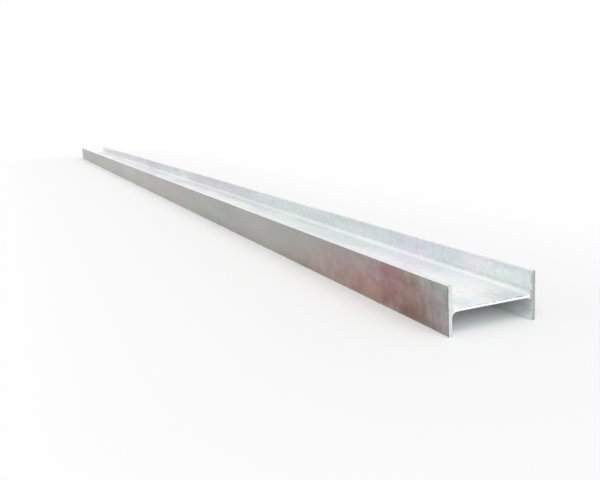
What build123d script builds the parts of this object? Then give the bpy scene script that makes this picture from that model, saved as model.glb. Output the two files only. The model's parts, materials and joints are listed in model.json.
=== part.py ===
from build123d import *

import os

# Hot-rolled steel I-beam with parallel flanges: one cut length of stock, in millimetres.
# It lies on the toes of its two flanges, so the web is level and the flanges stand upright.
# X runs along the beam, Y through the depth of the section and Z up from the floor.
# The origin is on the floor, under the middle of the beam.

# Driving dimensions
beam_length = 6000.0
section_depth = 200.0
flange_width = 100.0
flange_thickness = 8.5
web_thickness = 5.6
root_radius = 12.0
toe_radius = 2.0
saw_arris = 0.8

# Places in the section that follow from those sizes
web_level = flange_width / 2
flange_centre = (section_depth - flange_thickness) / 2


def toe_corners(profile):
    """The eight corners at the open ends of the flanges, lowest row and highest row."""
    rows = profile.vertices().group_by(Axis.Y)
    return rows[0] + rows[-1]


def root_corners(profile):
    """The four inner corners where the web runs into the flanges."""
    rows = profile.vertices().group_by(Axis.Y)
    return rows[1] + rows[-2]


with BuildPart() as i_beam:
    # Rolled section: a level web between two upright flanges
    with BuildSketch(Plane.YZ) as section:
        with Locations((0, web_level)):
            Rectangle(section_depth, web_thickness)
        with Locations((-flange_centre, web_level), (flange_centre, web_level)):
            Rectangle(flange_thickness, flange_width)
        fillet(root_corners(section), radius=root_radius)
        fillet(toe_corners(section), radius=toe_radius)
    extrude(amount=beam_length / 2, both=True)

    # Sawn ends, with the burr taken off all round each cut
    for end in (0, -1):
        cut_face = i_beam.faces().sort_by(Axis.X)[end]
        chamfer(cut_face.edges(), length=saw_arris)

i_beam.part.label = "i_beam"

os.makedirs("parts", exist_ok=True)
export_step(i_beam.part, "parts/i_beam.step")
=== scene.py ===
"""Looks of one galvanised steel I-beam that lies on the toes of its two flanges.

The beam is a single rolled piece: one section with rounded roots and toes, carried along a straight line and
sawn square at both ends. Geometry Nodes roll that section out, and a few zinc finishes dress it. All lengths
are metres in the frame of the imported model: X along the beam, Y through the depth of the section, Z up.
"""
import json
import logging
import math
from dataclasses import dataclass, field
from enum import Enum
from typing import Any, Protocol

import bpy
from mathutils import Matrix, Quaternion, Vector


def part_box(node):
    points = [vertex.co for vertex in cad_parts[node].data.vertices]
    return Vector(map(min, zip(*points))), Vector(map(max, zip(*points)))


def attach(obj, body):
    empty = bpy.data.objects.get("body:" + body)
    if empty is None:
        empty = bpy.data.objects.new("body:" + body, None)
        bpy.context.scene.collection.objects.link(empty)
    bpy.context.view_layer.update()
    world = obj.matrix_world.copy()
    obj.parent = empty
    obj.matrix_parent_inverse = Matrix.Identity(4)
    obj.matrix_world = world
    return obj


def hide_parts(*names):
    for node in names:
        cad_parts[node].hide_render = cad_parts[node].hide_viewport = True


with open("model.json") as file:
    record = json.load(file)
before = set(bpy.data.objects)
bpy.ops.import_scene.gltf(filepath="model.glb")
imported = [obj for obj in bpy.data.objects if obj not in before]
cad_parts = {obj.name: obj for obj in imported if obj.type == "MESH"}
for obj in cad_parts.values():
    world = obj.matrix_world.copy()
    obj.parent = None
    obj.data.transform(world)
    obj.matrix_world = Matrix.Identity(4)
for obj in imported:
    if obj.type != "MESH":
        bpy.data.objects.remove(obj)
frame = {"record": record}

NODE = "i_beam"
BODY = "root"
PIECE = "galvanised_beam"
LOG = logging.getLogger(NODE)
MAP_NAME = "OFBake"
MILLIMETRE = 0.001
# No zinc here is paler than this.
PALEST = 0.98
# No zinc is smoother than this roughness, because smoother zinc came out of the render with bright specks.
SMOOTHEST = 0.285

Number = "Value | float"
Triple = tuple[float, float, float]
Socket = bpy.types.NodeSocket


class Surface(Enum):
    """The kinds of surface on the beam, with the names of their materials."""

    CHANNEL = "zinc_channel"
    OUTER_FACE = "zinc_outer_face"
    TOE = "zinc_toe"
    SAWN_END = "zinc_sawn_end"


@dataclass(frozen=True)
class Value:
    """A number carried by a socket, so that maths in a node tree is written as an expression."""

    tree: bpy.types.NodeTree
    socket: Socket

    @staticmethod
    def of(tree: bpy.types.NodeTree, operation: str, *operands: Number) -> "Value":
        """Add one Math node with its operands in order.

        Args:
            tree: The node tree to add it to.
            operation: Blender's name of the operation.
            operands: Numbers or values.

        Returns:
            The node's result.
        """
        node = tree.nodes.new("ShaderNodeMath")
        node.operation = operation
        for place, operand in enumerate(operands):
            if isinstance(operand, Value):
                tree.links.new(operand.socket, node.inputs[place])
            else:
                node.inputs[place].default_value = operand
        return Value(tree, node.outputs[0])

    def maths(self, operation: str, *others: Number) -> "Value":
        """Add one Math node that starts from this number, and give its result."""
        return Value.of(self.tree, operation, self, *others)

    def __add__(self, other: Number) -> "Value":
        """This number plus another."""
        return self.maths("ADD", other)

    def __radd__(self, other: float) -> "Value":
        """A plain number plus this one."""
        return Value.of(self.tree, "ADD", other, self)

    def __sub__(self, other: Number) -> "Value":
        """This number less another."""
        return self.maths("SUBTRACT", other)

    def __rsub__(self, other: float) -> "Value":
        """A plain number less this one."""
        return Value.of(self.tree, "SUBTRACT", other, self)

    def __mul__(self, other: Number) -> "Value":
        """This number times another."""
        return self.maths("MULTIPLY", other)

    def __rmul__(self, other: float) -> "Value":
        """A plain number times this one."""
        return Value.of(self.tree, "MULTIPLY", other, self)

    def __truediv__(self, other: Number) -> "Value":
        """This number divided by another."""
        return self.maths("DIVIDE", other)

    def __mod__(self, other: Number) -> "Value":
        """What is left of this number after dividing it by another."""
        return self.maths("FLOORED_MODULO", other)

    def __gt__(self, other: Number) -> "Value":
        """One where this number is the larger, and nought elsewhere."""
        return self.maths("GREATER_THAN", other)

    def __lt__(self, other: Number) -> "Value":
        """One where this number is the smaller, and nought elsewhere."""
        return self.maths("LESS_THAN", other)

    def __abs__(self) -> "Value":
        """This number without its sign."""
        return self.maths("ABSOLUTE")

    def least(self, other: Number) -> "Value":
        """The smaller of this number and another."""
        return self.maths("MINIMUM", other)

    def most(self, other: Number) -> "Value":
        """The larger of this number and another."""
        return self.maths("MAXIMUM", other)

    def with_side(self, other: "Value") -> "Value":
        """The distance that this number and another, square to it, add up to."""
        return (self * self + other * other).maths("SQRT")

    def rise(self, low: float, high: float) -> "Value":
        """Turn this number into a smooth step.

        Args:
            low: Where the step is still nought.
            high: Where it has come up to one.

        Returns:
            The step.
        """
        node = self.tree.nodes.new("ShaderNodeMapRange")
        node.interpolation_type = "SMOOTHSTEP"
        node.inputs["From Min"].default_value = low
        node.inputs["From Max"].default_value = high
        self.tree.links.new(self.socket, node.inputs["Value"])
        return Value(self.tree, node.outputs["Result"])


@dataclass(frozen=True)
class Graph:
    """A node tree under construction."""

    tree: bpy.types.NodeTree

    def node(self, kind: str, settings: dict[str, Any] | None = None,
             inputs: dict[str | int, Any] | None = None) -> bpy.types.Node:
        """Add a node, with its settings made before its sockets are fed.

        Args:
            kind: Blender's type of the node.
            settings: Its properties. The name "stops" sets the stops of a colour ramp, "cases" the number
                of cases of an index switch, and "captured" the type and name of a captured attribute.
            inputs: What each socket gets, by name or place: a number, a vector, a value or a socket.

        Returns:
            The new node.
        """
        made = self.tree.nodes.new(kind)
        for name, setting in (settings or {}).items():
            if name == "stops":
                self._set_stops(made, setting)
            elif name == "cases":
                for _ in range(setting - len(made.index_switch_items)):
                    made.index_switch_items.new()
            elif name == "captured":
                made.capture_items.new(*setting)
            else:
                setattr(made, name, setting)
        for name, given in (inputs or {}).items():
            self.feed(made.inputs[name], given)
        return made

    @staticmethod
    def _set_stops(ramp: bpy.types.Node, stops: tuple[tuple[float, Triple], ...]) -> None:
        """Give a colour ramp its stops.

        Args:
            ramp: The ramp's node.
            stops: The place and the colour of each.
        """
        elements = ramp.color_ramp.elements
        while len(elements) < len(stops):
            elements.new(1.0)
        for element, (place, colour) in zip(elements, stops):
            element.position = place
            element.color = (*colour, 1.0)

    def feed(self, socket: Socket, given: Any) -> None:
        """Give an input what it needs.

        Args:
            socket: The input.
            given: A value or a socket to link to it, or a plain number or vector to set on it.
        """
        if isinstance(given, Value):
            self.tree.links.new(given.socket, socket)
        elif isinstance(given, Socket):
            self.tree.links.new(given, socket)
        else:
            socket.default_value = given

    def value(self, socket: Socket) -> Value:
        """Wrap a socket that carries a number."""
        return Value(self.tree, socket)

    def parts(self, vector: Socket) -> tuple[Value, Value, Value]:
        """Split a vector into its three numbers."""
        split = self.node("ShaderNodeSeparateXYZ", inputs={0: vector})
        return tuple(self.value(output) for output in split.outputs)

    def vector(self, x: Number, y: Number, z: Number) -> Socket:
        """Join three numbers to a vector."""
        return self.node("ShaderNodeCombineXYZ", inputs={0: x, 1: y, 2: z}).outputs[0]

    def vector_maths(self, operation: str, *operands: Any) -> Socket:
        """Add a Vector Math node that gives a vector.

        Args:
            operation: Blender's name of the operation.
            operands: Vectors in order, or for SCALE a vector and a number.

        Returns:
            The resulting vector's socket.
        """
        node = self.node("ShaderNodeVectorMath", {"operation": operation})
        places = ("Vector", "Scale") if operation == "SCALE" else (0, 1)
        for place, operand in zip(places, operands):
            self.feed(node.inputs[place], operand)
        return node.outputs["Vector"]

    def noise(self, vector: Socket, stretch: Triple, detail: float = 3.0, roughness: float = 0.5) -> Value:
        """Smooth random clouds.

        Args:
            vector: The place that they are read at.
            stretch: How many clouds there are in a metre along each axis.
            detail: How many finer layers lie on the first.
            roughness: How strong the finer layers are.

        Returns:
            The clouds, about a half on average.
        """
        place = self.vector_maths("MULTIPLY", vector, stretch)
        return self.value(self.node("ShaderNodeTexNoise", {"noise_dimensions": "3D"}, {
            "Vector": place, "Scale": 1.0, "Detail": detail, "Roughness": roughness}).outputs["Fac"])

    def mix(self, factor: Number, first: Socket, second: Socket) -> Socket:
        """Mix two colours by how much of the second shows."""
        # The node's colours are its inputs 6 and 7 and its output 2.
        node = self.node("ShaderNodeMix", {"data_type": "RGBA"}, {"Factor": factor, 6: first, 7: second})
        return node.outputs[2]

    def output(self, surface: Socket, kind: str = "ShaderNodeOutputMaterial") -> None:
        """Lead a shader to the tree's output."""
        self.node(kind, inputs={"Surface": surface})

    def metal(self, colour: Socket, metallic: float, roughness: Value, relief: Value, depth: float,
              strength: float) -> None:
        """Shade the surface as metal with a fine relief.

        Args:
            colour: Its colour.
            metallic: How much of it is bright metal.
            roughness: How satin it is.
            relief: The height of its relief, as a share of the depth.
            depth: How deep that relief is.
            strength: How strongly it is shaded.
        """
        bump = self.node("ShaderNodeBump", inputs={"Strength": strength, "Distance": depth, "Height": relief})
        shader = self.node("ShaderNodeBsdfPrincipled", inputs={
            "Base Color": colour, "Metallic": metallic, "Roughness": roughness,
            "Normal": bump.outputs["Normal"]})
        self.output(shader.outputs[0])


@dataclass(frozen=True)
class SectionSize:
    """The rolled section and the length of the beam.

    Attributes:
        length: From one sawn end to the other.
        depth: From one flange's outer face to the other's.
        width: The width of a flange, which is how high the beam stands.
        flange: The thickness of a flange.
        web: The thickness of the web.
        root: The radius where the web meets a flange.
        toe: The radius of the corners of a toe.
        arris: The radius of the edge round a sawn end.
    """

    length: float
    depth: float
    width: float
    flange: float
    web: float
    root: float = 12 * MILLIMETRE
    toe: float = 2 * MILLIMETRE
    arris: float = 0.8 * MILLIMETRE

    @classmethod
    def from_frame(cls) -> "SectionSize":
        """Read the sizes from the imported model.

        Returns:
            The section, with its thicknesses taken from where the record puts its flat faces.
        """
        low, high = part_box(NODE)
        faces = {mount["name"]: mount["pos_m"] for mount in frame["record"]["mounts"]}
        width = high.z - low.z
        return cls(
            length=high.x - low.x,
            depth=high.y - low.y,
            width=width,
            flange=2 * (high.y - faces["lower_toe_back"][1]),
            web=2 * (faces["web_face_top"][2] - width / 2),
        )

    @property
    def girth(self) -> float:
        """The way once round the section."""
        sharp = 4 * self.width + 2 * self.depth - 2 * self.web
        return sharp - (2 - math.pi / 2) * (4 * self.root + 8 * self.toe)


class Finish(Protocol):
    """Anything that can dress a surface."""

    def material(self) -> bpy.types.Material:
        """Build the finish as a node material."""


def new_material(name: str) -> tuple[bpy.types.Material, Graph]:
    """Make an empty node material.

    Args:
        name: Its name.

    Returns:
        The material and its node tree.
    """
    made = bpy.data.materials.new(name)
    made.use_nodes = True
    made.node_tree.nodes.clear()
    return made, Graph(made.node_tree)


def add_object(name: str, data: bpy.types.ID) -> bpy.types.Object:
    """Make an object of a mesh, a light or a camera, and add it to the scene.

    Args:
        name: Its name.
        data: What it shows.

    Returns:
        The object.
    """
    made = bpy.data.objects.new(name, data)
    bpy.context.collection.objects.link(made)
    return made


@dataclass(frozen=True)
class Patch:
    """A soft patch of tint, darker or paler, on one flat face; one of them is painted light.

    Attributes:
        tint: What it multiplies the zinc by where it is strongest.
        along: Where its middle is along the beam.
        level: Where its middle is the other way: how high on a flange, or how far across on the web.
        reach: How far it reaches along the beam and the other way.
        softness: How far its edge is spread to each side, as a share of its reach.
    """

    tint: Triple
    along: float
    level: float
    reach: tuple[float, float]
    softness: float = 0.65

    def over(self, graph: Graph, zinc: Socket, along: Value, level: Value, ragged: Value) -> Socket:
        """Lay the patch on the zinc.

        Args:
            graph: The material's node tree.
            zinc: The colour so far.
            along: The place along the beam.
            level: The place the other way.
            ragged: How far the patch's edge is pushed out or in, as a share of its reach.

        Returns:
            The colour with the patch on it.
        """
        sideways = (along - self.along) / self.reach[0]
        upwards = (level - self.level) / self.reach[1]
        cover = (1.0 - ragged - sideways.with_side(upwards)).rise(-self.softness, self.softness)
        return graph.mix(cover, zinc, graph.vector_maths("MULTIPLY", zinc, self.tint))


MAUVE_HIGH = Patch((0.97, 0.72, 0.82), 2.785, 0.062, (0.070, 0.040))
RED_HIGH = Patch((0.97, 0.80, 0.79), 2.795, 0.086, (0.045, 0.016))
RED_BAND = Patch((1.07, 0.79, 0.77), 2.70, 0.026, (0.17, 0.026))
ROSE_MIDDLE = Patch((1.04, 0.95, 0.99), 2.62, 0.070, (0.11, 0.030))
PINK_FAR = Patch((1.04, 0.95, 0.94), 2.30, 0.032, (0.18, 0.032))
OLIVE_STREAK = Patch((0.98, 1.15, 1.02), 2.785, 0.033, (0.050, 0.012))
BROWN_RUN = Patch((0.92, 0.81, 0.74), 2.875, 0.040, (0.042, 0.046))
DARK_FOOT = Patch((0.84, 0.76, 0.79), 2.880, 0.010, (0.090, 0.016))
LILAC_TOP = Patch((0.98, 0.91, 1.06), 2.69, 0.090, (0.035, 0.012))
LILAC_SPOT = Patch((0.96, 0.88, 1.02), 2.915, 0.062, (0.016, 0.018))
MAUVE_CUT = Patch((0.93, 0.86, 0.90), 2.950, 0.030, (0.030, 0.034))
GREY_CUT = Patch((0.98, 0.95, 1.00), 2.970, 0.070, (0.045, 0.036))
PALE_FOOT = Patch((1.25, 1.34, 1.38), 2.791, 0.008, (0.010, 0.013))

LILAC_FLANGE = Patch((0.93, 0.97, 1.01), 2.555, 0.078, (0.085, 0.035))
GREEN_FLANGE = Patch((0.90, 1.01, 0.96), 2.705, 0.078, (0.070, 0.035))
PINK_FLANGE = Patch((1.10, 1.02, 1.06), 2.815, 0.078, (0.040, 0.035))
MINT_FLANGE = Patch((0.98, 1.04, 1.02), 2.935, 0.072, (0.045, 0.025))
GREEN_WEB = Patch((0.95, 1.00, 0.96), 2.400, 0.050, (0.110, 0.022))
PINK_WEB = Patch((1.05, 0.98, 1.01), 2.660, 0.018, (0.060, 0.028))
# Painted light: a pale pool on the top of the web next to the near cut.
PAINTED_LIGHT_WEB = Patch((1.22, 1.17, 1.16), 2.835, 0.035, (0.110, 0.070))
ROSE_WEB = Patch((1.04, 0.97, 0.99), 2.945, 0.050, (0.035, 0.026))


@dataclass(frozen=True)
class StainAndReflection:
    """The front outer face, darker towards both ends and brown-mauve next to the near one.

    The darkening towards the near end is painted shade. A brown-mauve veil, partly real staining and partly a
    painted reflection of the ground, lies on the zinc there, with stronger patches in it, and thins out again
    at the cut. It begins further from the cut on the lower edge than on the upper one, and upright runs break
    it up.

    Attributes:
        near_shade: What the zinc is multiplied by towards the near end, as painted shade.
        near_fades: Where that begins, and from where on it is full.
        far_dull: What it is multiplied by towards the far end.
        far_fades: How far from the middle that begins and is full.
        veil: The tint of the veil.
        starts: Where along the beam the veil begins to show.
        full: Where along the beam it is strongest.
        clears: Where it begins to thin out towards the cut.
        ends: Where it is faintest.
        middle: The height at which those four hold.
        slant: How far its start shifts along the beam for each metre above that.
        cut_slant: How far its thinning out does, the other way.
        wander: How far the clouds and the blots shift its start.
        cut_wander: How far the upright runs shift its thinning out.
        run_starts: Where the upright runs begin, and from where on they are full.
        patches: The patches in it.
        raggedness: How far the blots push the edges of the patches out or in.
        run_raggedness: How far the upright runs do.
        hues: Tints of the small changes of hue in it, from the pinkest to the greenest.
        blots: How much the blots change the tone.
        runs: How much the upright runs change the tone.
    """

    near_shade: float = 0.85
    near_fades: tuple[float, float] = (-0.8, 1.5)
    far_dull: float = 0.90
    far_fades: tuple[float, float] = (0.7, 2.0)
    veil: Triple = (0.90, 0.78, 0.75)
    starts: float = 2.05
    full: float = 2.75
    clears: float = 2.88
    ends: float = 3.0
    middle: float = 50 * MILLIMETRE
    slant: float = 4.0
    cut_slant: float = 0.8
    wander: tuple[float, float] = (0.5, 0.3)
    cut_wander: float = 0.15
    run_starts: tuple[float, float] = (2.65, 2.85)
    patches: tuple[Patch, ...] = (
        MAUVE_HIGH, RED_HIGH, RED_BAND, ROSE_MIDDLE, PINK_FAR, OLIVE_STREAK, BROWN_RUN, DARK_FOOT, LILAC_TOP,
        LILAC_SPOT, MAUVE_CUT, GREY_CUT, PALE_FOOT)
    raggedness: float = 1.8
    run_raggedness: float = 0.8
    hues: tuple[tuple[float, Triple], ...] = (
        (0.38, (1.03, 0.95, 0.98)),
        (0.50, (1.00, 1.00, 1.00)),
        (0.62, (0.99, 1.03, 0.96)),
    )
    blots: float = 0.7
    runs: float = 0.35

    def over(self, graph: Graph, zinc: Socket, place: Socket) -> Socket:
        """Lay the veil, partly real staining and partly painted reflection, on the front of the beam.

        Args:
            graph: The material's node tree.
            zinc: The bare zinc's colour.
            place: The place on the beam.

        Returns:
            The colour with the veil and the painted shade on it.
        """
        along, across, height = graph.parts(place)
        front = across < 0
        clouds = graph.noise(place, (7.0, 9.0, 14.0))
        blots = graph.noise(place, (26.0, 26.0, 30.0), detail=5.0, roughness=0.65)
        runs = graph.noise(place, (42.0, 4.0, 14.0), detail=5.0, roughness=0.7)
        hue = graph.noise(place, (34.0, 34.0, 30.0), roughness=0.6)
        near = along.rise(*self.run_starts)
        above = height - self.middle

        by_clouds, by_blots = self.wander
        spread = along - self.slant * above + by_clouds * (clouds - 0.5) + by_blots * (blots - 0.5)
        cover = spread.rise(self.starts, self.full)
        frayed = along + self.cut_wander * (runs - 0.5) + self.cut_slant * above
        thinned = frayed.rise(self.clears, self.ends)
        # Painted shade darkens the zinc towards the near end; it is darker towards the far end too.
        darkening = ((1 - self.near_shade) * along.rise(*self.near_fades)
                + (1 - self.far_dull) * (0 - along).rise(*self.far_fades))
        broken = 1 + cover * (self.blots * (blots - 0.5) + self.runs * near * (runs - 0.5))
        veiled = graph.vector_maths("SCALE", zinc, (1 - darkening) * broken)
        # The veil is partly real staining and partly painted reflection of the ground.
        veiled = graph.mix(cover * (1 - thinned), veiled, graph.vector_maths("MULTIPLY", veiled, self.veil))
        tint = graph.node("ShaderNodeValToRGB", {"stops": self.hues}, {"Fac": hue}).outputs["Color"]
        veiled = graph.mix(cover, veiled, graph.vector_maths("MULTIPLY", veiled, tint))
        ragged = self.raggedness * (blots - 0.5) + self.run_raggedness * near * (runs - 0.5)
        for patch in self.patches:
            veiled = patch.over(graph, veiled, along, height, ragged)
        return graph.mix(front, zinc, veiled)


@dataclass(frozen=True)
class Bloom:
    """Soft tints of the zinc inside the upper channel, towards the near end, with one painted pool of light
    on the web.

    Attributes:
        on_flange: The patches on the inside of the back flange.
        on_web: The patches on the top of the web.
        web_starts: The height at which the top of the web begins.
        root_starts: The height at which the web bends up into the flange.
        flange_starts: The height at which the flange's flat begins.
        raggedness: How far the edges of the patches are pushed out or in.
    """

    on_flange: tuple[Patch, ...] = (LILAC_FLANGE, GREEN_FLANGE, PINK_FLANGE, MINT_FLANGE)
    on_web: tuple[Patch, ...] = (GREEN_WEB, PINK_WEB, PAINTED_LIGHT_WEB, ROSE_WEB)
    web_starts: float = 50 * MILLIMETRE
    root_starts: float = 54 * MILLIMETRE
    flange_starts: float = 64 * MILLIMETRE
    raggedness: float = 1.4

    def over(self, graph: Graph, zinc: Socket, place: Socket) -> Socket:
        """Lay the tints on the zinc.

        Args:
            graph: The material's node tree.
            zinc: The bare zinc's colour.
            place: The place on the beam.

        Returns:
            The tinted colour.
        """
        along, across, height = graph.parts(place)
        blots = graph.noise(place, (16.0, 22.0, 22.0), detail=4.0, roughness=0.6)
        ragged = self.raggedness * (blots - 0.5)
        up_flange = height.rise(self.root_starts, self.flange_starts)
        flange, web = zinc, zinc
        for patch in self.on_flange:
            flange = patch.over(graph, flange, along, height, ragged)
        for patch in self.on_web:
            web = patch.over(graph, web, along, across, ragged)
        tinted = graph.mix((height > self.web_starts) * (1 - up_flange), zinc, web)
        return graph.mix(up_flange * (across > 0), tinted, flange)


@dataclass(frozen=True)
class PaintedRootBand:
    """A band of painted highlight, or of painted shade, along all four roots.

    Attributes:
        tone: How much brighter it is painted, or how much darker where that is below nought.
        line: The middle of the band, as its distance across and up from the section's middle.
        reach: How far from there it begins to fade and where it ends.
    """

    tone: float
    line: tuple[float, float]
    reach: tuple[float, float]

    def added(self, across: Value, upwards: Value) -> Value:
        """What the band adds to the tone of the zinc.

        Args:
            across: The distance across from the section's middle.
            upwards: The distance up or down from it.

        Returns:
            The part of the tone.
        """
        sideways = across - self.line[0]
        above = upwards - self.line[1]
        return self.tone * (1 - sideways.with_side(above).rise(*self.reach))


# Painted highlight: a pale line along each root, next to the web.
PAINTED_ROOT_HIGHLIGHT = PaintedRootBand(0.16, (80 * MILLIMETRE, 3 * MILLIMETRE), (2 * MILLIMETRE, 7 * MILLIMETRE))
# Painted shade: a darker band on the upper half of each fillet.
PAINTED_ROOT_SHADE = PaintedRootBand(-0.11, (90 * MILLIMETRE, 9 * MILLIMETRE), (2 * MILLIMETRE, 6 * MILLIMETRE))


@dataclass(frozen=True)
class ZincFinish:
    """A hot-dip zinc skin on rolled steel.

    Attributes:
        name: The material's name.
        colour: The bare zinc, painted darker on a surface turned from the light, as painted shade.
        half_length: How far the sawn ends are from the middle of the beam.
        half_width: How far the middle of the section is above the floor.
        metallic: How much of it is bright metal and not matte oxide.
        roughness: How satin it is on average.
        clouds: How much the tone changes over a long cloud.
        mottle: How much it changes over a hand's width.
        spangle: How much it changes from one zinc crystal to the next.
        rolled: How much the lines left by the rolls change it.
        grain: The depth of the fine relief.
        tints: Tints of its slow drift in colour, from the greenest to the pinkest.
        end_painted_light: How much brighter it is painted next to the near sawn end, as a painted pool of
            light.
        painted_light_starts: Where that begins, and from where on it is full.
        painted_root_bands: The painted highlight and the painted shade along the four roots.
        cut_burr_and_shade: How dark the rough line beside each cut is: partly the saw's burr, partly painted
            shade along the rounded arris.
        cut_reach: How far from the cut that line is full, and where it ends.
        cut_wander: How much further in it reaches where it is torn.
        satin: How much the mottle, the crystals and the clouds change the roughness.
        relief: The shares of the mottle, the rolled lines and the finest noise in that relief.
        stain_and_light: The veil of staining and painted reflection, or the tints and painted light, on this
            surface, if it carries any.
    """

    name: str
    colour: Triple
    half_length: float
    half_width: float
    metallic: float = 0.7
    roughness: float = 0.40
    clouds: float = 0.16
    mottle: float = 0.16
    spangle: float = 0.05
    rolled: float = 0.08
    grain: float = 0.15 * MILLIMETRE
    tints: tuple[tuple[float, Triple], ...] = (
        (0.36, (0.945, 1.000, 0.965)),
        (0.46, (0.970, 0.990, 1.000)),
        (0.54, (0.970, 0.965, 1.000)),
        (0.62, (1.000, 0.960, 0.980)),
    )
    end_painted_light: float = 0.0
    painted_light_starts: tuple[float, float] = (2.50, 2.75)
    painted_root_bands: tuple[PaintedRootBand, ...] = ()
    cut_burr_and_shade: float = 0.45
    cut_reach: tuple[float, float] = (1 * MILLIMETRE, 3 * MILLIMETRE)
    cut_wander: float = 2 * MILLIMETRE
    satin: Triple = (0.12, 0.06, 0.08)
    relief: Triple = (0.6, 0.25, 0.15)
    stain_and_light: StainAndReflection | Bloom | None = None

    def material(self) -> bpy.types.Material:
        """Build the finish as a node material.

        Returns:
            The material.
        """
        made, graph = new_material(self.name)
        place = graph.node("ShaderNodeTexCoord").outputs["Object"]
        clouds = graph.noise(place, (1.3, 7.0, 8.0), detail=4.0)
        mottle = graph.noise(place, (3.5, 16.0, 16.0), detail=5.0, roughness=0.6)
        drift = graph.noise(place, (3.4, 6.0, 7.0), detail=2.0)
        rolled = graph.noise(place, (0.5, 240.0, 240.0), detail=2.0)
        cells = graph.node("ShaderNodeTexVoronoi", {"feature": "F1"}, {"Vector": place, "Scale": 105.0})
        crystal, _, _ = graph.parts(cells.outputs["Color"])
        along, across, height = graph.parts(place)
        torn = graph.noise(place, (60.0, 130.0, 130.0), roughness=0.6).rise(0.35, 0.65)
        beside_cut = (abs(along) + self.cut_wander * torn).rise(
            self.half_length - self.cut_reach[1], self.half_length - self.cut_reach[0])
        upwards = abs(height - self.half_width)

        # The tone carries a painted pool of light next to the near cut, and beside each cut a dark line that
        # is partly the saw's burr and partly painted shade.
        tone = (1 + 2 * self.clouds * (clouds - 0.5) + 2 * self.mottle * (mottle - 0.5)
                + 2 * self.spangle * (crystal - 0.5) + 2 * self.rolled * (rolled - 0.5)
                + self.end_painted_light * along.rise(*self.painted_light_starts) - self.cut_burr_and_shade * beside_cut * torn)
        for band in self.painted_root_bands:
            tone = tone + band.added(abs(across), upwards)
        tint = graph.node("ShaderNodeValToRGB", {"stops": self.tints}, {"Fac": drift}).outputs["Color"]
        zinc = graph.vector_maths("MULTIPLY", tint, self.colour)
        if self.stain_and_light:
            zinc = self.stain_and_light.over(graph, zinc, place)
        colour = graph.vector_maths("MINIMUM", graph.vector_maths("SCALE", zinc, tone), (PALEST,) * 3)

        by_mottle, by_crystal, by_clouds = self.satin
        rough = (self.roughness + by_mottle * (mottle - 0.5) + by_crystal * (crystal - 0.5)
                 + by_clouds * (clouds - 0.5)).most(SMOOTHEST)
        fine = graph.noise(place, (420.0, 420.0, 420.0), detail=2.0)
        of_mottle, of_rolled, of_fine = self.relief
        relief = of_mottle * mottle + of_rolled * rolled + of_fine * fine
        graph.metal(colour, self.metallic, rough, relief, self.grain, strength=0.6)
        return made


@dataclass(frozen=True)
class SawnFinish:
    """A bright frosty saw cut, with the blade's marks running across the section.

    Attributes:
        name: The material's name.
        colour: The cut metal.
        metallic: How much of it is bright metal.
        roughness: How satin it is on average.
        frosted: How much the frost changes that.
        marks: How much the blade's marks change the tone.
        frost: How much the frost changes the tone.
        specks: How dark the specks in it are.
        pits: How deep the specks are, as a share of the depth of the saw marks.
        flanges: What the cut metal is multiplied by on the two flanges, as painted shade, darkest on the back
            flange.
        flange_starts: How far across the web's tone ends and the flanges' begins.
        grain: The depth of the saw marks.
    """

    name: str
    colour: Triple = (0.98, 0.99, 0.985)
    metallic: float = 0.35
    roughness: float = 0.45
    frosted: float = 0.2
    marks: float = 0.16
    frost: float = 0.12
    specks: float = 0.45
    pits: float = 0.4
    flanges: tuple[float, float] = (0.72, 0.41)
    flange_starts: tuple[float, float] = (82 * MILLIMETRE, 92 * MILLIMETRE)
    grain: float = 0.10 * MILLIMETRE

    def material(self) -> bpy.types.Material:
        """Build the finish as a node material.

        Returns:
            The material.
        """
        made, graph = new_material(self.name)
        place = graph.node("ShaderNodeTexCoord").outputs["Object"]
        marks = graph.noise(place, (1.0, 40.0, 900.0), detail=2.0)
        specks = graph.noise(place, (1.0, 320.0, 320.0)).rise(0.58, 0.72)
        frost = graph.noise(place, (1.0, 60.0, 60.0))
        _, across, _ = graph.parts(place)
        front, back = self.flanges
        # Painted shade on the flanges' cut, darkest on the back flange.
        flange_shade = ((1 - front) * (0 - across).rise(*self.flange_starts)
                  + (1 - back) * across.rise(*self.flange_starts))
        tone = 1 + self.marks * (marks - 0.5) + self.frost * (frost - 0.5) - self.specks * specks
        colour = graph.vector_maths("SCALE", self.colour, tone * (1 - flange_shade))
        rough = self.roughness + self.frosted * (frost - 0.5)
        graph.metal(colour, self.metallic, rough, marks - self.pits * specks, self.grain, strength=0.7)
        return made


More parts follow.
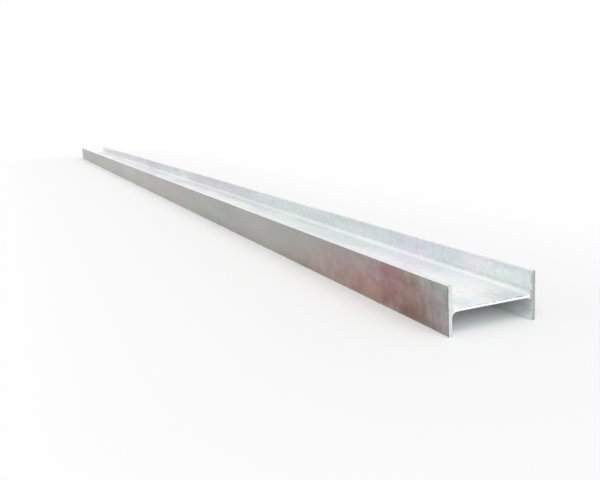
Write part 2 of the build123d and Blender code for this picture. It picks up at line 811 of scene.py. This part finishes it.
@dataclass(frozen=True)
class MapSheet:
    """How the skin of the beam is laid flat on its texture map, in metres before it is fitted to the sheet.

    Attributes:
        strips: Into how many lengths the skin is cut, which lie one above the other.
        gap: The room left round each island.
        end_scale: How much larger the two sawn ends are drawn than the skin.
    """

    strips: int = 3
    gap: float = 16 * MILLIMETRE
    end_scale: float = 2.0

    def store(self, graph: Graph, size: SectionSize, mesh: Socket, round_section: Value,
              sawn: Value) -> Socket:
        """Write the map to the mesh.

        Args:
            graph: The node tree.
            size: The sizes of the beam.
            mesh: The mesh to write it to.
            round_section: The way round the section, from the point where it starts.
            sawn: One on the sawn ends.

        Returns:
            The mapped mesh.
        """
        x, y, z = graph.parts(graph.node("GeometryNodeInputPosition").outputs[0])
        strip_length = size.length / self.strips
        strip = ((self._of_face(graph, x) + size.length / 2) / strip_length).maths("FLOOR")
        strip = strip.most(0.0).least(self.strips - 1)
        # The face that closes the section ends where the way round starts again from nought.
        lost = self._of_face(graph, round_section) - round_section
        unrolled = round_section + size.girth * (lost > size.girth / 4)
        across = x + size.length / 2 - strip * strip_length
        upward = unrolled + strip * (size.girth + self.gap)

        end_step = self.end_scale * size.depth + self.gap
        end_across = strip_length + self.gap + self.end_scale * z
        end_upward = self.end_scale * (y + size.depth / 2) + (x > 0) * end_step
        sheet_width = strip_length + self.end_scale * size.width + 3 * self.gap
        sheet_height = self.strips * (size.girth + self.gap) + self.gap
        place = graph.vector(
            (across + sawn * (end_across - across) + self.gap) / sheet_width,
            (upward + sawn * (end_upward - upward) + self.gap) / sheet_height,
            0.0)
        return graph.node("GeometryNodeStoreNamedAttribute", {"data_type": "FLOAT2", "domain": "CORNER"}, {
            "Geometry": mesh, "Name": MAP_NAME, "Value": place}).outputs[0]

    @staticmethod
    def _of_face(graph: Graph, number: Value) -> Value:
        """The mean of a number over each face."""
        return graph.value(graph.node("GeometryNodeFieldOnDomain", {
            "data_type": "FLOAT", "domain": "FACE"}, {0: number}).outputs[0])


@dataclass
class RolledBeam:
    """The beam as one closed mesh, rolled out by Geometry Nodes.

    Attributes:
        size: The section and the length.
        finishes: The finish of each kind of surface.
        rings: How many times the section is repeated along the beam.
        root_steps: The points that round off each root.
        toe_steps: The points that round off each corner of a toe.
        end_steps: The rings that round off each sawn end.
        facet: The widest facet across a flat.
        skin: How far the thickness of the zinc varies.
        square_on: How squarely a face has to look along the beam to count as sawn.
        sheet: How its texture map is laid out.
        sockets: The identifier of each named input of the node tree.
    """

    size: SectionSize
    finishes: dict[Surface, Finish]
    rings: int = 380
    root_steps: int = 8
    toe_steps: int = 4
    end_steps: int = 3
    facet: float = 5.2 * MILLIMETRE
    skin: float = 0.10 * MILLIMETRE
    square_on: float = 0.99
    sheet: MapSheet = MapSheet()
    sockets: dict[str, str] = field(default_factory=dict)

    def build(self) -> bpy.types.Object:
        """Roll out the beam and turn it into a plain mesh.

        Returns:
            The finished object, with its place in its mesh.
        """
        source = add_object("section_seed", bpy.data.meshes.new("section_seed"))
        modifier = source.modifiers.new("roll_out", "NODES")
        modifier.node_group = self._tree()
        for name, number in self._inputs().items():
            modifier[self.sockets[name]] = number
        depsgraph = bpy.context.evaluated_depsgraph_get()
        mesh = bpy.data.meshes.new_from_object(source.evaluated_get(depsgraph), depsgraph=depsgraph)
        mesh.name = PIECE
        bpy.data.objects.remove(source)
        return add_object(PIECE, mesh)

    def _inputs(self) -> dict[str, float]:
        """The named inputs of the node tree, with the size that each is given."""
        size = self.size
        return {"Length": size.length, "Depth": size.depth, "Width": size.width, "Flange": size.flange,
                "Web": size.web, "Root": size.root, "Toe": size.toe, "Arris": size.arris, "Skin": self.skin}

    def _tree(self) -> bpy.types.NodeTree:
        """Build the node tree: the section, the stations along the beam, and one swept along the other.

        Returns:
            The node tree.
        """
        tree = bpy.data.node_groups.new("rolled_beam", "GeometryNodeTree")
        tree.interface.new_socket("Geometry", in_out="OUTPUT", socket_type="NodeSocketGeometry")
        for name in self._inputs():
            socket = tree.interface.new_socket(name, in_out="INPUT", socket_type="NodeSocketFloat")
            self.sockets[name] = socket.identifier
        graph = Graph(tree)
        group = graph.node("NodeGroupInput")
        sizes = {name: graph.value(group.outputs[name]) for name in self.sockets}

        section, point, outward, round_section = self._section(graph, sizes)
        rail, station, inset = self._rail(graph, sizes)
        swept = graph.node("GeometryNodeCurveToMesh", inputs={
            "Curve": rail, "Profile Curve": section, "Fill Caps": True}).outputs[0]
        _, across, height = graph.parts(point)
        placed = graph.node("GeometryNodeSetPosition", inputs={
            "Geometry": swept, "Position": graph.vector(station, across, height)}).outputs[0]
        here = graph.node("GeometryNodeInputPosition").outputs[0]
        hollow = graph.noise(here, (4.0, 11.0, 11.0), detail=2.0).rise(0.3, 0.7)
        inward = graph.vector_maths("SCALE", outward, 0 - (inset + sizes["Skin"] * hollow))
        coated = graph.node("GeometryNodeSetPosition", inputs={
            "Geometry": placed, "Offset": inward}).outputs[0]
        graph.node("NodeGroupOutput", inputs={0: self._dressed(graph, sizes, coated, round_section)})
        return tree

    def _section(self, graph: Graph, sizes: dict[str, Value]) -> tuple[Socket, Socket, Socket, Value]:
        """Draw the section: six corners, and the same six turned half round.

        Args:
            graph: The node tree.
            sizes: Its named inputs.

        Returns:
            The closed curve, and each point's place, outward direction and way round the section.
        """
        side, top = sizes["Depth"] / 2, sizes["Width"] / 2
        inner, web = side - sizes["Flange"], sizes["Web"] / 2
        corners = ((side, 0 - top, False), (side, top, False), (inner, top, False),
                   (inner, web, True), (0 - inner, web, True), (0 - inner, top, False))
        half = len(corners)
        index = graph.value(graph.node("GeometryNodeInputIndex").outputs[0])
        place = graph.node("GeometryNodeIndexSwitch", {"data_type": "VECTOR", "cases": half}, {
            "Index": index % half})
        kind = graph.node("GeometryNodeIndexSwitch", {"data_type": "FLOAT", "cases": half}, {
            "Index": index % half})
        for number, (across, height, is_root) in enumerate(corners, start=1):
            graph.feed(place.inputs[number], graph.vector(0.0, across, height))
            graph.feed(kind.inputs[number], float(is_root))
        turned = graph.vector_maths("SCALE", place.outputs[0], 1 - 2 * (index > half - 0.5))
        root = graph.value(kind.outputs[0])
        loop = graph.node("GeometryNodeCurvePrimitiveCircle", {"mode": "RADIUS"}, {
            "Resolution": 2 * half}).outputs[0]
        sharp = graph.node("GeometryNodeSetPosition", inputs={
            "Geometry": loop, "Position": turned}).outputs[0]
        rounded = graph.node("GeometryNodeFilletCurve", {"mode": "POLY"}, {
            "Curve": sharp, "Count": self.toe_steps + (self.root_steps - self.toe_steps) * root,
            "Radius": sizes["Toe"] + (sizes["Root"] - sizes["Toe"]) * root}).outputs[0]
        raised = graph.node("GeometryNodeSetPosition", inputs={
            "Geometry": rounded, "Offset": graph.vector(0.0, 0.0, top)}).outputs[0]
        fine = graph.node("GeometryNodeSubdivideCurve", inputs={
            "Curve": raised, "Cuts": self._cuts(graph)}).outputs[0]

        here = graph.node("GeometryNodeInputPosition").outputs[0]
        tangent = graph.node("GeometryNodeInputTangent").outputs[0]
        facing = graph.vector_maths("CROSS_PRODUCT", tangent, (1.0, 0.0, 0.0))
        way = graph.node("GeometryNodeSplineParameter").outputs["Length"]
        curve, point = self._keep(graph, fine, "VECTOR", "Point", here)
        curve, outward = self._keep(graph, curve, "VECTOR", "Outward", facing)
        curve, round_section = self._keep(graph, curve, "FLOAT", "Round Section", way)
        return curve, point, outward, graph.value(round_section)

    def _cuts(self, graph: Graph) -> Value:
        """Work out how often each stretch of the section is cut, so that no facet is too wide.

        Args:
            graph: The node tree.

        Returns:
            The number of cuts.
        """
        here = graph.node("GeometryNodeInputPosition").outputs[0]
        following = graph.node("GeometryNodeOffsetPointInCurve", inputs={"Offset": 1}).outputs["Point Index"]
        there = graph.node("GeometryNodeFieldAtIndex", {"data_type": "FLOAT_VECTOR", "domain": "POINT"}, {
            "Value": here, "Index": following}).outputs[0]
        gap = graph.node("ShaderNodeVectorMath", {"operation": "DISTANCE"}, {0: here, 1: there})
        return (graph.value(gap.outputs["Value"]) / self.facet).maths("FLOOR")

    @staticmethod
    def _keep(graph: Graph, curve: Socket, kind: str, name: str, kept: Socket) -> tuple[Socket, Socket]:
        """Keep a field with the points of a curve.

        Args:
            graph: The node tree.
            curve: The curve.
            kind: The type of the field.
            name: What it is called.
            kept: The field.

        Returns:
            The curve and what was kept.
        """
        node = graph.node("GeometryNodeCaptureAttribute", {"domain": "POINT", "captured": (kind, name)}, {
            "Geometry": curve, 1: kept})
        return node.outputs[0], node.outputs[1]

    def _rail(self, graph: Graph, sizes: dict[str, Value]) -> tuple[Socket, Value, Value]:
        """Set out the stations along the beam, close together where a sawn end is rounded off.

        Args:
            graph: The node tree.
            sizes: Its named inputs.

        Returns:
            The line, each station's place along the beam and how far the section draws in there.
        """
        index = graph.value(graph.node("GeometryNodeInputIndex").outputs[0])
        last = self.rings - 1
        from_end = index.least(last - index)
        angle = (from_end / self.end_steps).least(1.0) * (math.pi / 2)
        share = ((index - self.end_steps) / (last - 2 * self.end_steps)).most(0.0).least(1.0)
        body = (2 * share - 1) * (sizes["Length"] / 2 - sizes["Arris"])
        sign = 2 * (index > last / 2) - 1
        station = body + sign * sizes["Arris"] * angle.maths("COSINE")
        inset = sizes["Arris"] * (1 - angle.maths("SINE"))

        line = graph.node("GeometryNodeCurvePrimitiveLine", inputs={"End": (1.0, 0.0, 0.0)}).outputs[0]
        spaced = graph.node("GeometryNodeResampleCurve", {"mode": "COUNT"}, {
            "Curve": line, "Count": self.rings}).outputs[0]
        rail, kept_station = self._keep(graph, spaced, "FLOAT", "Station", station)
        rail, kept_inset = self._keep(graph, rail, "FLOAT", "Inset", inset)
        return rail, graph.value(kept_station), graph.value(kept_inset)

    def _dressed(self, graph: Graph, sizes: dict[str, Value], bare: Socket, round_section: Value) -> Socket:
        """Give each kind of surface its map, its shading and its finish.

        Args:
            graph: The node tree.
            sizes: Its named inputs.
            bare: The swept mesh.
            round_section: The way round the section at each point.

        Returns:
            The dressed mesh, with all instances realized.
        """
        _, across, height = graph.parts(graph.node("GeometryNodeInputPosition").outputs[0])
        facing, _, _ = graph.parts(graph.node("GeometryNodeInputNormal").outputs["Normal"])
        sawn = abs(facing) > self.square_on
        # Each finish is laid over the ones before it.
        where = {
            Surface.CHANNEL: True,
            Surface.OUTER_FACE: abs(across) > sizes["Depth"] / 2 - sizes["Toe"] / 3,
            Surface.TOE: abs(height - sizes["Width"] / 2) > sizes["Width"] / 2 - sizes["Toe"],
            Surface.SAWN_END: sawn,
        }
        mesh = self.sheet.store(graph, self.size, bare, round_section, sawn)
        mesh = graph.node("GeometryNodeSetShadeSmooth", {"domain": "FACE"}, {
            "Geometry": mesh, "Shade Smooth": sawn < 0.5}).outputs[0]
        mesh = graph.node("GeometryNodeRealizeInstances", inputs={"Geometry": mesh}).outputs[0]
        for surface, selection in where.items():
            mesh = graph.node("GeometryNodeSetMaterial", inputs={
                "Geometry": mesh, "Selection": selection,
                "Material": self.finishes[surface].material()}).outputs[0]
        return mesh


@dataclass(frozen=True)
class Studio:
    """A white floor and sky, a broad soft light, a long lamp overhead, and the camera.

    Attributes:
        sky: How bright the sky is for what it lights.
        broad: How bright a white level surface is under the broad light alone.
        broad_from: The direction that the broad light comes from.
        broad_spread: How wide the broad light is, in degrees.
        lamp_glow: How bright the long lamp itself is.
        lamp_size: Its length and width.
        lamp_place: The middle of it.
        floor_radius: How far the floor reaches.
        floor_tone: How pale the floor is.
        shaded_to: How far from the beam the floor shows only its own shading.
        white_from: How far from the beam the floor is white whatever lights it.
        camera_place: Where the camera stands.
        camera_forward: The direction that it looks in.
        camera_roll: How far it is turned about that direction, in degrees.
        camera_lens: Its focal length, in millimetres.
    """

    sky: float = 0.55
    broad: float = 0.42
    broad_from: Triple = (1.0, -0.15, 1.0)
    broad_spread: float = 70.0
    lamp_glow: float = 0.3
    lamp_size: tuple[float, float] = (24.0, 0.25)
    lamp_place: Triple = (-10.0, 0.15, 2.6)
    floor_radius: float = 60.0
    floor_tone: float = 0.97
    shaded_to: float = 0.15
    white_from: float = 1.0
    camera_place: Triple = (4.049, -0.817, 0.447)
    camera_forward: Triple = (-0.90698, 0.37315, -0.1953)
    camera_roll: float = -3.165
    camera_lens: float = 42.5

    def build(self, size: SectionSize) -> None:
        """Make the floor, the sky, the light and the camera.

        Args:
            size: The sizes of the beam that lies on the floor.
        """
        self._floor(size)
        self._sky()
        self._broad_light()
        self._long_lamp()
        self._camera()

    @staticmethod
    def _seen(graph: Graph) -> Value:
        """Tell what is seen from what only lights the beam.

        Args:
            graph: The node tree.

        Returns:
            One for what the camera sees by itself, in metal or through glass, and nought for the rest.
        """
        path = graph.node("ShaderNodeLightPath").outputs
        rays = [graph.value(path[name]) for name in ("Is Camera Ray", "Is Glossy Ray", "Is Transmission Ray")]
        return rays[0].most(rays[1]).most(rays[2])

    def _floor(self, size: SectionSize) -> None:
        """Lay the floor, which keeps the beam's shadow and turns plain white further out.

        Args:
            size: The sizes of the beam that lies on it.
        """
        mesh = bpy.data.meshes.new("floor")
        corners = 96
        turns = [2 * math.pi * number / corners for number in range(corners)]
        rim = [(self.floor_radius * math.cos(turn), self.floor_radius * math.sin(turn), 0.0)
               for turn in turns]
        mesh.from_pydata(rim, [], [tuple(range(corners))])
        floor = add_object("floor", mesh)
        material, graph = new_material("pale_floor")
        x, y, _ = graph.parts(graph.node("ShaderNodeTexCoord").outputs["Object"])
        beyond_x = (abs(x) - size.length / 2).most(0.0)
        beyond_y = (abs(y) - size.depth / 2).most(0.0)
        white = beyond_x.with_side(beyond_y).rise(self.shaded_to, self.white_from) * self._seen(graph)
        shaded = graph.node("ShaderNodeBsdfDiffuse", inputs={"Color": (self.floor_tone,) * 3 + (1.0,)})
        plain = graph.node("ShaderNodeEmission", inputs={"Color": (1.0, 1.0, 1.0, 1.0), "Strength": 1.0})
        mixed = graph.node("ShaderNodeMixShader", inputs={
            0: white, 1: shaded.outputs[0], 2: plain.outputs[0]})
        graph.output(mixed.outputs[0])
        mesh.materials.append(material)

    def _sky(self) -> None:
        """Make the sky white where it is seen, and plain and dimmer for what it lights."""
        world = bpy.data.worlds.new("studio")
        world.use_nodes = True
        world.node_tree.nodes.clear()
        bpy.context.scene.world = world
        graph = Graph(world.node_tree)
        sky = graph.node("ShaderNodeBackground", inputs={
            "Color": (1.0, 1.0, 1.0, 1.0), "Strength": self.sky + (1 - self.sky) * self._seen(graph)})
        graph.output(sky.outputs[0], "ShaderNodeOutputWorld")

    def _broad_light(self) -> None:
        """Light everything evenly from a broad patch of the sky, which metal mirrors as plain sky."""
        light = bpy.data.lights.new("broad_light", "SUN")
        direction = Vector(self.broad_from).normalized()
        light.energy = math.pi * self.broad / direction.z
        light.angle = math.radians(self.broad_spread)
        lamp = add_object("broad_light", light)
        lamp.rotation_mode = "QUATERNION"
        lamp.rotation_quaternion = (-direction).to_track_quat("-Z", "Y")
        lamp.visible_glossy = False

    def _long_lamp(self) -> None:
        """Hang a long narrow lamp over the beam and past its far end."""
        light = bpy.data.lights.new("long_lamp", "AREA")
        light.shape = "RECTANGLE"
        light.size, light.size_y = self.lamp_size
        light.energy = self.lamp_glow * math.pi * light.size * light.size_y
        lamp = add_object("long_lamp", light)
        lamp.location = self.lamp_place
        lamp.visible_camera = False

    def _camera(self) -> None:
        """Set up the camera at the photograph's place."""
        camera = add_object("camera", bpy.data.cameras.new("camera"))
        camera.data.lens = self.camera_lens
        camera.data.clip_end = 4 * self.floor_radius
        camera.location = self.camera_place
        camera.rotation_mode = "QUATERNION"
        level = Vector(self.camera_forward).to_track_quat("-Z", "Y")
        camera.rotation_quaternion = level @ Quaternion((0.0, 0.0, 1.0), math.radians(self.camera_roll))
        bpy.context.scene.camera = camera


def finishes(size: SectionSize) -> dict[Surface, Finish]:
    """The finish of each kind of surface.

    Args:
        size: The sizes of the beam.

    Returns:
        The finishes.
    """
    halves = size.length / 2, size.width / 2
    return {
        # The channel carries a painted pool of light at the near end, and a painted highlight and painted
        # shade along its roots.
        Surface.CHANNEL: ZincFinish(
            Surface.CHANNEL.value, (0.83, 0.845, 0.851), *halves, roughness=0.32, clouds=0.22, mottle=0.27,
            end_painted_light=0.04, painted_root_bands=(PAINTED_ROOT_HIGHLIGHT, PAINTED_ROOT_SHADE), stain_and_light=Bloom()),
        # The outer faces are painted far darker than the channel: painted shade of faces turned from the
        # light.
        Surface.OUTER_FACE: ZincFinish(
            Surface.OUTER_FACE.value, (0.45, 0.44, 0.415), *halves, clouds=0.20, mottle=0.26, stain_and_light=StainAndReflection()),
        Surface.TOE: ZincFinish(Surface.TOE.value, (0.86, 0.865, 0.865), *halves, roughness=0.32),
        Surface.SAWN_END: SawnFinish(Surface.SAWN_END.value),
    }


def report(piece: bpy.types.Object) -> None:
    """Log the size of a finished piece."""
    piece.data.calc_loop_triangles()
    LOG.info("%s: %d triangles, %s m", piece.name, len(piece.data.loop_triangles),
             [round(side, 4) for side in piece.dimensions])


def main() -> None:
    """Build the beam and the studio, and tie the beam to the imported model."""
    logging.basicConfig(level=logging.INFO, format="%(name)s: %(message)s")
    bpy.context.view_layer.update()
    size = SectionSize.from_frame()
    beam = RolledBeam(size, finishes(size)).build()
    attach(beam, BODY)
    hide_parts(NODE)
    report(beam)
    Studio().build(size)
    bpy.context.scene.view_settings.view_transform = "Standard"


if __name__ == "__main__":
    main()
